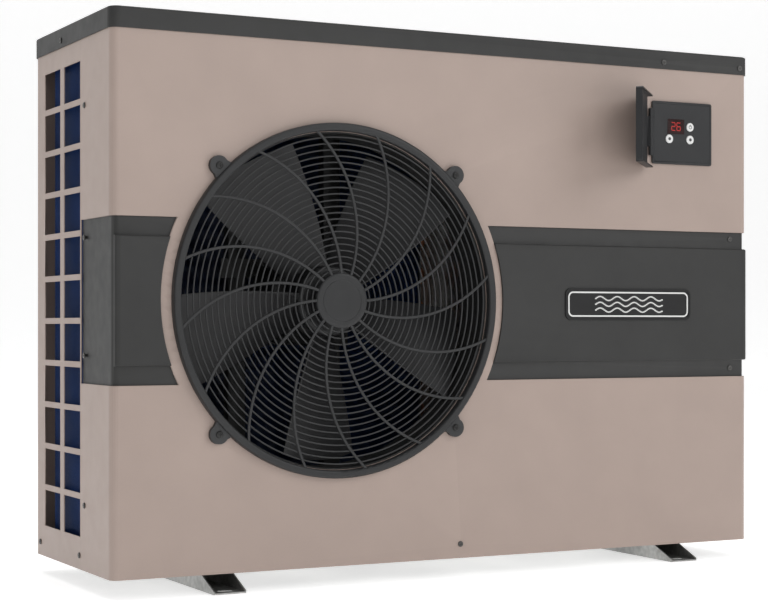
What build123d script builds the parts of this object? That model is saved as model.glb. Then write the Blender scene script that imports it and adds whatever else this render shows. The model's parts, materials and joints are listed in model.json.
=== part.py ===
from build123d import *
import math
import os

# Pool heat pump: sheet-metal cabinet, axial fan, wrap-around coil, water circuit.
# Millimetres. X to the right seen from the front, front faces -Y, Z up.
# Origin on the ground at the centre of the four anchor slots.

# cabinet
body_width = 1018.0
body_depth = 342.0
body_height = 742.0
foot_height = 26.0
corner_radius = 12.0
panel_sheet = 1.5
wrap_depth = 128.0
right_return = 22.0
lid_skirt = 28.0
lid_overhang = 2.0
lid_gap = 0.5

# feet and anchors
foot_length = 400.0
foot_width = 46.0
foot_sheet = 2.0
foot_slope = 56.0
foot_tip_forward = 10.0
anchor_spacing_x = 732.0
anchor_spacing_y = 364.0
anchor_slot_width = 10.0
anchor_slot_length = 22.0
left_foot_from_side = 160.0

# dark band across the front
band_bottom = 251.0
band_height = 220.5
band_recess = 3.2
band_sheet = 1.2
pillow_height = 170.0
pillow_proud = 2.5
band_ring_gap = 15.0

# fan, guard and shroud
fan_from_left = 324.0
fan_height = 363.0
guard_radius = 242.5
guard_ring_width = 11.0
guard_ring_depth = 11.0
guard_hub_radius = 38.0
guard_wires = 22
guard_first_wire = 43.0
guard_wire_pitch = 8.57
guard_wire_width = 2.3
guard_wire_depth = 4.0
guard_ribs = 16
guard_rib_width = 3.8
guard_rib_sweep = 32.0
guard_ear_reach = 9.0
guard_ear_radius = 13.0
guard_ear_depth = 7.0
guard_net_inset = 4.3
guard_screw_radius = 2.5
fan_opening_radius = 231.0
shroud_radius = 229.0
shroud_depth = 62.0
fan_radius = 221.0
fan_blades = 5
fan_hub_radius = 50.0
fan_hub_length = 46.0
fan_start = 26.0
shaft_radius = 6.0
running_clearance = 0.05

# motor and its rails
motor_radius = 62.0
motor_length = 92.0
motor_start = 92.0
rail_width = 26.0
rail_spacing = 150.0

# grille on the left side and the rear
grille_rows = 11
grille_bottom = 44.0
grille_row_pitch = 59.1
grille_bar = 8.0
grille_side_margin = 3.0
grille_side_window = 74.0
grille_side_bar = 17.0
grille_rear_columns = 7
grille_rear_bar = 16.0
grille_rear_post = 42.0

# coil
coil_inset = 10.0
coil_thickness = 40.0
coil_bend = 60.0
coil_bottom = 10.0
coil_height = 690.0
coil_bend_count = 13

# compressor side
partition_from_left = 640.0
compressor_radius = 62.0
compressor_height = 280.0
accumulator_radius = 30.0
accumulator_height = 170.0
exchanger_radius = 66.0
exchanger_height = 360.0

# water unions
union_from_right = 86.0
union_low = 118.0
union_spacing = 190.0
socket_radius = 25.1
socket_depth = 31.0
union_thread_radius = 36.0
union_nut_radius = 45.0
union_reach = 90.0

# controller
controller_from_left = 839.4
controller_bottom = 571.5
controller_width = 108.6
controller_height = 94.0
controller_proud = 3.0
controller_depth = 30.0
button_radius = 6.5
button_gap = 0.35
button_proud = 1.0
button_length = 8.0
display_width = 30.0
display_height = 22.0
flap_thickness = 2.0
flap_rim = 8.0
flap_margin = 5.5
flap_open_angle = 132.0
flap_root = 4.8
hinge_pin_radius = 1.0
knuckle_radius = 3.0
knuckle_length = 12.0
hinge_offset = 4.2

# badge
badge_width = 222.0
badge_height = 46.0
badge_from_left = 686.0
badge_sheet = 1.2

# small hardware
screw_head_radius = 4.0
screw_head_depth = 1.8
screw_shank_radius = 1.9
screw_length = 7.0
part_gap = 0.3

left = -(left_foot_from_side + anchor_spacing_x / 2)
right = left + body_width
front = -(foot_length / 2) + foot_tip_forward
back = front + body_depth
floor = foot_height
top = floor + body_height
mid_x = (left + right) / 2
mid_y = (front + back) / 2
fan_x = left + fan_from_left
fan_z = floor + fan_height
panel_top = top - panel_sheet - 2.0
low = (Align.MIN, Align.MIN, Align.MIN)


def block(x0, x1, y0, y1, z0, z1):
    return Pos(x0, y0, z0) * Box(x1 - x0, y1 - y0, z1 - z0, align=low)


def prism(inset, z0, z1):
    radius = max(corner_radius - inset, 1.0)
    outline = RectangleRounded(body_width - 2 * inset, body_depth - 2 * inset, radius)
    return extrude(Pos(mid_x, mid_y, z0) * outline, z1 - z0)


def skin(outer, inner, z0, z1):
    return prism(outer, z0, z1) - prism(inner, z0 - 1, z1 + 1)


def along_y(x, z, y0, y1, radius):
    rod = Cylinder(radius, y1 - y0, align=(Align.CENTER, Align.CENTER, Align.MIN))
    disc = Pos(x, y0, z) * (Rot(-90, 0, 0) * rod)
    return disc


def upright(x, y, z0, z1, radius):
    return Pos(x, y, z0) * Cylinder(radius, z1 - z0, align=(Align.CENTER, Align.CENTER, Align.MIN))


def along_x(y, z, x0, x1, radius):
    rod = Cylinder(radius, x1 - x0, align=(Align.CENTER, Align.CENTER, Align.MIN))
    return Pos(x0, y, z) * (Rot(0, 90, 0) * rod)


def pipe(points, radius, bend):
    path = FilletPolyline(*points, radius=bend)
    start = Plane(origin=path @ 0, z_dir=path % 0)
    return sweep(start * Circle(radius), path)


# places shared by panels and their screws
side_screw_levels = (88.0, 289.0, 447.0, 624.0)
side_screw_depth = 112.0


def screw_places():
    places = []
    for level in side_screw_levels:
        places.append(((left, front + side_screw_depth, floor + level), "left"))
    places.append(((left, front + 134.0, floor + 19.0), "left"))
    places.append(((left, back - 25.0, floor + 19.0), "left"))
    places.append(((left + 513.0, front, floor + 20.0), "front"))
    places.append(((right - 31.0, front + band_recess, floor + 461.5), "front"))
    places.append(((right - 31.0, front + band_recess, floor + 264.0), "front"))
    for level in (60.0, 371.0, 680.0):
        places.append(((right, front + 60.0, floor + level), "right"))
        places.append(((right, back - 40.0, floor + level), "right"))
        places.append(((right - 24.0, back, floor + level), "back"))
        places.append(((left + partition_from_left + 22.0, back, floor + level), "back"))
    for x in (861.0, 1002.0):
        places.append(((left + x, front - lid_overhang, top - 18.0), "front"))
        places.append(((left + x, back + lid_overhang, top - 18.0), "back"))
    places.append(((left + 160.0, back + lid_overhang, top - 18.0), "back"))
    places.append(((left - lid_overhang, front + 212.0, top - 18.0), "left"))
    places.append(((right + lid_overhang, front + 212.0, top - 18.0), "right"))
    return places


def facing(place, side, shape):
    turn = {"front": Rot(90, 0, 0), "back": Rot(-90, 0, 0), "left": Rot(0, -90, 0), "right": Rot(0, 90, 0)}
    return Pos(*place) * (turn[side] * shape)


def one_screw(gap):
    shank = Cylinder(screw_shank_radius + gap, screw_length, align=(Align.CENTER, Align.CENTER, Align.MAX))
    head = Cylinder(screw_head_radius, screw_head_depth, align=(Align.CENTER, Align.CENTER, Align.MIN))
    if gap > 0:
        return shank
    head = chamfer(head.edges().group_by(Axis.Z)[-1], 0.7)
    slot = Box(4.6, 0.9, 0.9, align=(Align.CENTER, Align.CENTER, Align.MAX))
    slots = Pos(0, 0, screw_head_depth) * (slot + Rot(0, 0, 90) * slot)
    return head + shank - slots


def drilled(shape):
    for place, side in screw_places():
        box = shape.bounding_box()
        x_ok = box.min.X - 9 < place[0] < box.max.X + 9
        y_ok = box.min.Y - 9 < place[1] < box.max.Y + 9
        z_ok = box.min.Z - 9 < place[2] < box.max.Z + 9
        if x_ok and y_ok and z_ok:
            shape = shape - facing(place, side, one_screw(0.2))
    return shape


def casing_screws():
    return Compound(children=[facing(place, side, one_screw(0)) for place, side in screw_places()])


def foot(centre_x):
    half = foot_width / 2
    tip = foot_length / 2
    side = Polyline(
        (-tip, 0), (tip, 0), (tip, 4), (tip - foot_slope, foot_height),
        (-tip + foot_slope, foot_height), (-tip, 4), close=True
    )
    outline = Plane.YZ * make_face(side)
    solid = Pos(centre_x - half, 0, 0) * extrude(outline, foot_width)
    wall = half - foot_sheet
    inner = block(centre_x - wall, centre_x + wall, -tip - 1, tip + 1, foot_sheet, foot_height + 1)
    shape = solid - inner
    for y in (-110.0, 110.0):
        tab = block(centre_x - half, centre_x + half, y - 20, y + 20, foot_height - foot_sheet, foot_height)
        shape = shape + tab - upright(centre_x, y, foot_height - 5, foot_height + 1, 3.4)
    slot = SlotOverall(anchor_slot_length, anchor_slot_width)
    for y in (-anchor_spacing_y / 2, anchor_spacing_y / 2):
        shape = shape - extrude(Pos(centre_x, y, -1) * slot, foot_sheet + 2)
    return shape


def foot_bolts():
    bolts = []
    for x in (-anchor_spacing_x / 2, anchor_spacing_x / 2):
        for y in (-110.0, 110.0):
            under = foot_height - foot_sheet
            head = extrude(Pos(x, y, under - 4.5) * RegularPolygon(6.0, 6), 4.5)
            shank = upright(x, y, under - 4.5, floor + panel_sheet + 4.5, 3.0)
            nut = extrude(Pos(x, y, floor + panel_sheet) * RegularPolygon(6.0, 6), 4.0)
            bolts.append(head + shank + nut)
    return Compound(children=bolts)


def base_pan():
    inset = panel_sheet + part_gap
    tray = prism(inset, floor, floor + 36) - prism(inset + panel_sheet, floor + panel_sheet, floor + 40)
    for x in (-anchor_spacing_x / 2, anchor_spacing_x / 2):
        for y in (-110.0, 110.0):
            tray = tray - upright(x, y, floor - 1, floor + 4, 3.4)
    tray = tray - upright(drain_x, drain_y, floor - 1, floor + 4, 9.7)
    return drilled(tray)


drain_x = left + 262.0
drain_y = back - 150.0


def front_keep(z0, z1):
    left_part = block(left - 20, right - 60, front - 20, front + wrap_depth, z0, z1)
    right_part = block(right - 80, right + 20, front - 20, front + right_return, z0, z1)
    return left_part + right_part


def band_zone(z0, z1, radius):
    return front_keep(z0, z1) - along_y(fan_x, fan_z, front - 30, front + 30, radius)


def front_panel():
    z0 = floor + band_bottom
    z1 = z0 + band_height
    recess = band_recess + band_sheet + 0.2
    ring = guard_radius + band_ring_gap
    sheet = skin(0, panel_sheet, floor, panel_top) & front_keep(floor, panel_top)
    back_skin = skin(0, recess + panel_sheet, z0 - panel_sheet, z1 + panel_sheet)
    back_skin = back_skin & band_zone(z0 - panel_sheet, z1 + panel_sheet, ring - panel_sheet)
    front_cut = skin(-5, recess, z0, z1) & band_zone(z0, z1, ring)
    shape = sheet + back_skin - front_cut
    shape = shape - along_y(fan_x, fan_z, front - 1, front + 20, fan_opening_radius)
    x0 = left + controller_from_left
    z2 = floor + controller_bottom
    x1 = x0 + controller_width
    opening = block(x0 + 4, x1 - 4, front - 1, front + 9, z2 + 4, z2 + controller_height - 4)
    for x, z in guard_screw_centres():
        shape = shape - along_y(x, z, front - 1, front + 9, guard_screw_radius + 0.2)
    return drilled(shape - opening)


def band_trim(is_left):
    z0 = floor + band_bottom + part_gap
    z1 = floor + band_bottom + band_height - part_gap
    deep = band_recess + band_sheet
    ring = guard_radius + band_ring_gap + part_gap
    base = skin(band_recess, deep, z0, z1) & band_zone(z0, z1, ring)
    p0 = (z0 + z1) / 2 - pillow_height / 2
    p1 = p0 + pillow_height
    pillow = prism(-pillow_proud, p0, p1) - prism(deep, p0 - 1, p1 + 1)
    pillow = pillow & band_zone(p0, p1, ring)
    pillow = pillow & block(left + 5, right + 10, front - 10, front + right_return - part_gap, p0, p1)
    rims = [e for e in pillow.edges() if e.center().Y < front - 1 or e.center().X > right + 1]
    rims = [e for e in rims if e.center().Z > p1 - 0.01 or e.center().Z < p0 + 0.01]
    pillow = fillet(rims, 2.4)
    if is_left:
        side = block(left - 20, fan_x, front - 20, front + wrap_depth - 0.2, z0 - 1, z1 + 1)
    else:
        side = block(fan_x, right + 20, front - 20, front + right_return - 0.2, z0 - 1, z1 + 1)
    shape = (base + pillow) & side
    return drilled(shape)


def badge_plate():
    z = floor + band_bottom + band_height / 2 - 1.0
    x = left + badge_from_left + badge_width / 2
    face = front - pillow_proud
    plate = extrude(Plane.XZ * RectangleRounded(badge_width, badge_height, 9.0), badge_sheet)
    rim = extrude(Plane.XZ * RectangleRounded(badge_width, badge_height, 9.0), badge_sheet + 0.7)
    inner = RectangleRounded(badge_width - 5, badge_height - 5, 7.0)
    rim = rim - extrude(Plane.XZ * inner, badge_sheet + 1.5)
    return Pos(x, face, z) * (plate + rim)


def polar(centre, radius, degrees):
    a = math.radians(degrees)
    return centre[0] + radius * math.cos(a), centre[1] + radius * math.sin(a)


def guard_screw_centres():
    reach = guard_radius + guard_ear_reach
    return [polar((fan_x, fan_z), reach, a) for a in (45, 135, 225, 315)]


def guard_rib(angle):
    turn = math.radians(guard_rib_sweep)
    r0 = guard_hub_radius - 4
    r1 = guard_radius - guard_ring_width / 2
    start = (r0, 0)
    end = (r1 * math.cos(turn), r1 * math.sin(turn))
    arc = TangentArc(start, end, tangent=(1, 0.06))
    return Rot(0, 0, angle) * trace(arc, guard_rib_width)


def guard_net():
    wires = Circle(guard_first_wire + guard_wire_width / 2) - Circle(guard_first_wire - guard_wire_width / 2)
    for i in range(1, guard_wires):
        r = guard_first_wire + i * guard_wire_pitch
        wires = wires + (Circle(r + guard_wire_width / 2) - Circle(r - guard_wire_width / 2))
    net = wires
    for i in range(guard_ribs):
        net = net + guard_rib(i * 360.0 / guard_ribs)
    net = net + Circle(guard_hub_radius)
    net = net & Circle(guard_radius - guard_ring_width - 0.1)
    mesh = extrude(Plane.XZ * net, guard_wire_depth)
    hub_depth = guard_wire_depth + 2.5
    hub = extrude(Plane.XZ * Circle(guard_hub_radius), hub_depth)
    hub = fillet(hub.edges().group_by(Axis.Y)[0], 2.0)
    hub = hub - Pos(0, -hub_depth, 0) * (Rot(90, 0, 0) * Torus(guard_hub_radius - 9, 1.0))
    return Pos(fan_x, front - guard_net_inset, fan_z) * (hub + mesh)


def guard_lug(angle):
    reach = guard_radius + guard_ear_reach
    neck = guard_ear_radius - 1.2
    root = guard_radius - 8
    points = [(root, -neck - 9), (guard_radius, -neck - 3), (reach - 1, -neck)]
    points = points + [(x, -z) for x, z in reversed(points)]
    flare = make_face(Polyline(*points, close=True))
    outline = Pos(reach, 0) * Circle(guard_ear_radius) + flare - Circle(guard_radius - 3)
    lug = extrude(Plane.XZ * (Rot(0, 0, angle) * outline), guard_ear_depth)
    return lug - Rot(0, -angle, 0) * along_y(reach, 0, -20, 5, guard_screw_radius + 0.2)


def guard_frame():
    ring = Circle(guard_radius) - Circle(guard_radius - guard_ring_width)
    frame = extrude(Plane.XZ * ring, guard_ring_depth)
    frame = fillet(frame.edges().group_by(Axis.Y)[0], 3.5)
    for angle in (45, 135, 225, 315):
        frame = frame + guard_lug(angle)
    return Pos(fan_x, front, fan_z) * frame


def guard_screws():
    screws = []
    for x, z in guard_screw_centres():
        head = Sphere(5.5) & Cylinder(7, 12, align=(Align.CENTER, Align.CENTER, Align.MIN))
        head = (Pos(0, 0, -2.2) * head) & Cylinder(7, 12, align=(Align.CENTER, Align.CENTER, Align.MIN))
        slot = Box(5.0, 1.0, 1.6, align=(Align.CENTER, Align.CENTER, Align.MAX))
        head = head - Pos(0, 0, 3.4) * (slot + Rot(0, 0, 90) * slot)
        shank = Cylinder(guard_screw_radius, 15.0, align=(Align.CENTER, Align.CENTER, Align.MAX))
        screws.append(Pos(x, front - guard_ear_depth, z) * (Rot(90, 0, 0) * (head + shank)))
    return Compound(children=screws)


def grille_windows(start, window, bar, columns):
    z0 = floor + grille_bottom
    height = grille_row_pitch - grille_bar
    places = []
    for row in range(grille_rows):
        for column in range(columns):
            near = start + column * (window + bar)
            low = z0 + row * grille_row_pitch
            places.append((near, near + window, low, low + height))
    return places


def side_grille():
    keep = block(left - 20, left + corner_radius, front + wrap_depth + part_gap, back + 20, floor, panel_top)
    shape = skin(0, panel_sheet, floor, panel_top) & keep
    start = front + wrap_depth + grille_side_margin
    windows = grille_windows(start, grille_side_window, grille_side_bar, 2)
    return drilled(shape - [block(left - 5, left + 5, y0, y1, z0, z1) for y0, y1, z0, z1 in windows])


def rear_grille():
    start = left + corner_radius + part_gap
    shape = block(start, left + partition_from_left, back - panel_sheet, back, floor, panel_top)
    span = partition_from_left - 2 * grille_rear_post
    window = (span - (grille_rear_columns - 1) * grille_rear_bar) / grille_rear_columns
    windows = grille_windows(left + grille_rear_post, window, grille_rear_bar, grille_rear_columns)
    return drilled(shape - [block(x0, x1, back - 5, back + 5, z0, z1) for x0, x1, z0, z1 in windows])


def rear_panel():
    keep = block(left + partition_from_left + part_gap, right - 40, back - 40, back + 20, floor, panel_top)
    corner = block(right - 60, right + 20, back - 20, back + 20, floor, panel_top)
    shape = skin(0, panel_sheet, floor, panel_top) & (keep + corner)
    for z in union_levels():
        shape = shape - along_y(union_x(), z, back - 20, back + 5, union_thread_radius - 4 + 0.3)
    shape = shape - along_y(gland_x, gland_z, back - 20, back + 5, 8.3)
    return drilled(shape)


def side_panel():
    near = front + right_return + part_gap
    keep = block(right - 20, right + 20, near, back - 20 - part_gap, floor, panel_top)
    shape = skin(0, panel_sheet, floor, panel_top) & keep
    hole = block(right - 5, right + 5, grip_y - 62, grip_y + 62, grip_z - 22, grip_z + 22)
    return drilled(shape - hole)


grip_y = mid_y
grip_z = floor + 640.0


def side_grip():
    flange = block(right, right + 2.5, grip_y - 70, grip_y + 70, grip_z - 30, grip_z + 30)
    flange = fillet(flange.edges().filter_by(Axis.X), 10)
    cup = block(right - 30, right + 1, grip_y - 61.5, grip_y + 61.5, grip_z - 21.5, grip_z + 21.5)
    cup = fillet(cup.edges().filter_by(Axis.X), 8)
    hollow = block(right - 28, right + 5, grip_y - 59.5, grip_y + 59.5, grip_z - 19.5, grip_z + 19.5)
    hollow = fillet(hollow.edges().filter_by(Axis.X), 6)
    return flange + cup - hollow


def top_cover():
    outer = prism(-lid_overhang, top - lid_skirt, top)
    outer = fillet(outer.edges().group_by(Axis.Z)[-1], 3.0)
    shape = outer - prism(-lid_gap, top - lid_skirt - 1, top - panel_sheet)
    return drilled(shape)


def partition():
    x = left + partition_from_left
    low = floor + panel_sheet + part_gap
    sheet = block(x + 3, x + 3 + panel_sheet, front + 8, back - panel_sheet - 4, low, panel_top)
    lip = block(x + 3, x + 18, front + 8, front + 8 + panel_sheet, floor + 40, panel_top)
    return sheet + lip


def fan_shroud():
    y0 = front + panel_sheet + part_gap
    tube = along_y(fan_x, fan_z, y0, y0 + shroud_depth, shroud_radius + 1.5)
    flange = along_y(fan_x, fan_z, y0, y0 + 1.5, shroud_radius + 14)
    hole = along_y(fan_x, fan_z, y0 - 1, y0 + shroud_depth + 1, shroud_radius)
    shape = tube + flange - hole
    return shape


def fan_blade():
    sections = []
    stations = ((fan_hub_radius - 6, 62.0, 5.0, 42.0, 0.0), (110.0, 104.0, 3.6, 33.0, 7.0))
    stations = stations + ((170.0, 132.0, 3.0, 27.0, 13.0), (fan_radius + 6, 150.0, 2.4, 23.0, 17.0))
    for radius, chord, thick, pitch, lean in stations:
        lean = math.radians(pitch)
        along = (0, math.sin(lean), math.cos(lean))
        plane = Plane(origin=(radius, 0, 0), x_dir=along, z_dir=(1, 0, 0))
        outline = Pos(0, 0) * RectangleRounded(chord, thick, thick * 0.45)
        sections.append(Rot(0, lean, 0) * (plane * outline))
    return loft(sections)


def fan_rotor():
    y0 = front + fan_start
    hub = along_y(0, 0, 0, fan_hub_length, fan_hub_radius)
    hub = fillet(hub.edges().group_by(Axis.Y)[0], 8)
    hub = hub - along_y(0, 0, fan_hub_length - 36, fan_hub_length + 1, fan_hub_radius - 4)
    boss = along_y(0, 0, 4, fan_hub_length, 14)
    shape = hub + boss
    rim = along_y(0, 0, -40, 90, fan_radius)
    hollow = along_y(0, 0, fan_hub_length - 36, 90, fan_hub_radius - 4)
    blade = (Pos(0, fan_hub_length / 2, 0) * fan_blade()) & rim
    blade = blade - hollow - along_y(0, 0, -40, 90, fan_hub_radius - 4)
    for i in range(fan_blades):
        shape = shape + Rot(0, 20 + i * 360.0 / fan_blades, 0) * blade
    shape = shape - along_y(0, 0, -1, fan_hub_length + 1, shaft_radius)
    return Pos(fan_x, y0, fan_z) * shape


def motor_shaft():
    y0 = front + fan_start - 8
    shaft = along_y(fan_x, fan_z, y0, front + motor_start + 60, shaft_radius)
    return chamfer(shaft.edges(), 0.8)


def fan_nut():
    y0 = front + fan_start - 6
    nut = extrude(Plane.XZ * (RegularPolygon(11.0, 6) - Circle(shaft_radius + 0.02)), 6)
    return Pos(fan_x, y0 + 6, fan_z) * nut


def fan_motor():
    y0 = front + motor_start
    can = along_y(fan_x, fan_z, y0, y0 + motor_length, motor_radius)
    can = fillet(can.edges(), 6)
    nose = along_y(fan_x, fan_z, y0 - 9, y0 + 4, 20)
    shape = can + nose
    shape = shape - along_y(fan_x, fan_z, y0 - 10, y0 + 64, shaft_radius + running_clearance)
    for a in (45, 135, 225, 315):
        x, z = polar((fan_x, fan_z), 68, a)
        ear = along_y(x, z, y0 + motor_length - 8, y0 + motor_length, 11)
        shape = shape + ear
    return shape


def motor_rails():
    y0 = front + motor_start + motor_length
    rails = []
    for x in (fan_x - rail_spacing / 2, fan_x + rail_spacing / 2):
        outer = block(x - rail_width / 2, x + rail_width / 2, y0 + 2, y0 + 20, floor + 10, panel_top - 4)
        inner = block(x - rail_width / 2 + 1.5, x + rail_width / 2 - 1.5, y0 + 3.5, y0 + 21, floor, panel_top)
        foot_tab = block(x - rail_width / 2, x + rail_width / 2, y0 + 2, y0 + 32, floor + 10, floor + 12)
        rails.append(outer - inner + foot_tab)
    shape = rails[0] + rails[1]
    for dz in (-48.0, 48.0):
        strap = block(fan_x - 100, fan_x + 100, y0, y0 + 2, fan_z + dz - 14, fan_z + dz + 14)
        shape = shape + strap
    base = block(fan_x - 100, fan_x + 100, y0 + 2, y0 + 32, floor + 8, floor + 10)
    return shape + base


def upright_edges(solid, x, y):
    edges = solid.edges().filter_by(Axis.Z)
    return [e for e in edges if abs(e.center().X - x) < 0.01 and abs(e.center().Y - y) < 0.01]


def coil_solid(inset, thickness, z0, z1, front_end, far_end):
    x0 = left + inset
    y1 = back - inset
    inner = coil_bend - thickness
    outer_line = Polyline(
        (x0, front_end), (x0, y1), (far_end, y1), (far_end, y1 - thickness),
        (x0 + thickness, y1 - thickness), (x0 + thickness, front_end), close=True
    )
    solid = extrude(Pos(0, 0, z0) * make_face(outer_line), z1 - z0)
    outer_edge = upright_edges(solid, x0, y1)
    solid = fillet(outer_edge, coil_bend)
    inner_edge = upright_edges(solid, x0 + thickness, y1 - thickness)
    return fillet(inner_edge, inner)


coil_front = front + 38.0
coil_far = left + partition_from_left - 40.0


def coil_fins():
    z0 = floor + coil_bottom
    return coil_solid(coil_inset, coil_thickness, z0, z0 + coil_height, coil_front, coil_far)


def coil_plates():
    z0 = floor + coil_bottom
    z1 = z0 + coil_height
    x0 = left + coil_inset
    y1 = back - coil_inset
    near = block(x0 - 1, x0 + coil_thickness + 3, coil_front - 1.7, coil_front - 0.2, z0, z1)
    far = block(coil_far + 0.2, coil_far + 1.7, y1 - coil_thickness - 3, y1 + 1, z0, z1)
    return Compound(children=[near, far])


def coil_bends():
    z0 = floor + coil_bottom
    pitch = coil_height / (coil_bend_count * 2)
    x = left + coil_inset + coil_thickness / 2
    y = back - coil_inset - coil_thickness / 2
    bends = []
    for i in range(coil_bend_count):
        z = z0 + pitch * (2 * i + 1)
        arc = Plane.YZ * CenterArc((0, 0), pitch / 2, 90, 180)
        tube = sweep(Plane(origin=(0, 0, pitch / 2), z_dir=(0, -1, 0)) * Circle(4.7), arc)
        bends.append(Pos(x, coil_front - 2.0, z) * tube)
        turned = Rot(0, 0, 90) * tube
        bends.append(Pos(coil_far + 2.0, y, z) * turned)
    return Compound(children=bends)


comp_x = left + partition_from_left + 118.0
comp_y = back - 128.0


def compressor():
    z0 = floor + 26
    can = upright(comp_x, comp_y, z0, z0 + compressor_height, compressor_radius)
    can = fillet(can.edges(), 22)
    outline = Rot(0, 0, 90) * RegularPolygon(compressor_radius + 36, 3)
    plate = extrude(Pos(comp_x, comp_y, z0 - 6) * outline, 4)
    plate = fillet(plate.edges().filter_by(Axis.Z), 14)
    neck = upright(comp_x, comp_y, z0 - 4, z0 + 20, compressor_radius - 14)
    cap = upright(comp_x, comp_y, z0 + compressor_height - 4, z0 + compressor_height + 16, 24)
    shape = can + plate + neck + cap
    for x, y in compressor_feet():
        shape = shape - upright(x, y, z0 - 10, z0 + 3, 8.0)
    return shape


def compressor_feet():
    reach = compressor_radius + 8
    return [polar((comp_x, comp_y), reach, a) for a in (90, 210, 330)]


def compressor_grommets():
    z0 = floor + panel_sheet
    grommets = []
    for x, y in compressor_feet():
        low_part = upright(x, y, z0, floor + 20, 13)
        neck = upright(x, y, z0, floor + 27, 7.6)
        high_part = upright(x, y, floor + 24.2, floor + 28, 11)
        grommets.append(low_part + neck + high_part - upright(x, y, z0 - 1, floor + 30, 4.2))
    return Compound(children=grommets)


def compressor_bolts():
    z0 = floor + panel_sheet
    bolts = []
    for x, y in compressor_feet():
        bolt = upright(x, y, z0, floor + 36, 4.0)
        washer = upright(x, y, floor + 28, floor + 29.6, 11)
        nut = extrude(Pos(x, y, floor + 29.6) * RegularPolygon(7.5, 6), 5)
        bolts.append(bolt + washer + nut)
    return Compound(children=bolts)


acc_x = comp_x - 30.0
acc_y = comp_y - 112.0


def accumulator():
    z0 = floor + 60
    can = upright(acc_x, acc_y, z0, z0 + accumulator_height, accumulator_radius)
    can = fillet(can.edges(), 16)
    tab = block(acc_x - 6, acc_x + 6, acc_y - 6, acc_y + 6, floor + panel_sheet, z0 + 6)
    return can + tab


ex_x = right - 118.0
ex_y = front + 158.0


def heat_exchanger():
    z0 = floor + 30
    can = upright(ex_x, ex_y, z0, z0 + exchanger_height, exchanger_radius)
    can = fillet(can.edges(), 12)
    for z in (z0 + 40, z0 + exchanger_height - 52):
        can = can + upright(ex_x, ex_y, z, z + 12, exchanger_radius + 5)
    legs = upright(ex_x, ex_y, floor + panel_sheet, z0 + 14, exchanger_radius - 18)
    return can + legs


def union_x():
    return right - union_from_right


def union_levels():
    return (floor + union_low, floor + union_low + union_spacing)


def water_pipes():
    pipes = []
    for z in union_levels():
        start = ex_y + exchanger_radius - 3
        tube = along_y(union_x(), z, start, back - 24, 23)
        pipes.append(tube - along_y(union_x(), z, start - 1, back, 20))
    return Compound(children=pipes)


def exchanger_ports_cut(shape):
    for z in union_levels():
        shape = shape - along_y(union_x(), z, ex_y, back, 23.2)
    return shape


def union_bodies():
    bodies = []
    r = union_thread_radius
    for z in union_levels():
        flange = along_y(union_x(), z, back + part_gap, back + 8, r + 6)
        thread = along_y(union_x(), z, back + 7, back + 36, r)
        inner = along_y(union_x(), z, back - 24, back + 1, r - 4)
        nut = extrude(Pos(union_x(), back - 3, z) * (Plane.XZ * RegularPolygon(r + 6, 8)), 8)
        bore = along_y(union_x(), z, back - 30, back + 60, 20)
        seat = along_y(union_x(), z, back + 33.5, back + 40, 28.5)
        seat = seat - along_y(union_x(), z, back + 30, back + 41, 24.5)
        bodies.append(flange + thread + inner - bore - seat)
    return Compound(children=bodies)


def union_seals():
    seals = []
    for z in union_levels():
        ring = Pos(union_x(), back + 35.5, z) * (Rot(90, 0, 0) * Torus(26.5, 1.5))
        keep = along_y(union_x(), z, back + 33.6, back + 36.0, 40)
        seals.append(ring & keep)
    return Compound(children=seals)


def union_tails():
    tails = []
    for z in union_levels():
        y0 = back + 36.05
        flange = along_y(union_x(), z, y0, y0 + 6, union_thread_radius - 3)
        tube = along_y(union_x(), z, y0, back + union_reach, 30.5)
        waterway = along_y(union_x(), z, y0 - 1, back + union_reach + 1, 21)
        end = back + union_reach
        socket = along_y(union_x(), z, end - socket_depth, end + 1, socket_radius)
        tails.append(flange + tube - waterway - socket)
    return Compound(children=tails)


def union_nut(z):
    y0 = back + 9.5
    y1 = back + 50
    nut = along_y(union_x(), z, y0, y1, union_nut_radius)
    nut = chamfer(nut.edges(), 2.0)
    for i in range(12):
        a = i * 30.0
        x = (union_nut_radius + 1.2) * math.cos(math.radians(a))
        dz = (union_nut_radius + 1.2) * math.sin(math.radians(a))
        grip = along_y(union_x() + x, z + dz, y0 + 3, y1 - 3, 4.0)
        nut = nut + (grip & along_y(union_x(), z, y0, y1, union_nut_radius + 3))
    thread = along_y(union_x(), z, y0 - 1, y1 - 7.5, union_thread_radius + running_clearance)
    mouth = along_y(union_x(), z, y0 - 1, y1 + 1, 30.5 + running_clearance)
    return nut - thread - mouth


gland_x = right - 190.0
gland_z = floor + 640.0


def cable_gland():
    body = along_y(gland_x, gland_z, back - 14, back + 6, 8.0)
    flange = extrude(Pos(gland_x, back + 6, gland_z) * (Plane.XZ * RegularPolygon(12.5, 6)), 6 - part_gap)
    dome = along_y(gland_x, gland_z, back + 6, back + 24, 11)
    dome = fillet(dome.edges().group_by(Axis.Y)[-1], 4)
    inner = extrude(Pos(gland_x, back - 3, gland_z) * (Plane.XZ * RegularPolygon(12.5, 6)), 5)
    return body + flange + dome + inner - along_y(gland_x, gland_z, back - 20, back + 30, 5.5)


def condensate_spout():
    tube = upright(drain_x, drain_y, 6, floor + 6, 9.5)
    flange = upright(drain_x, drain_y, floor - 2.6, floor - 0.1, 15)
    lip = upright(drain_x, drain_y, floor + panel_sheet + 0.1, floor + 5, 13)
    return tube + flange + lip - upright(drain_x, drain_y, 0, floor + 10, 7.5)


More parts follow.
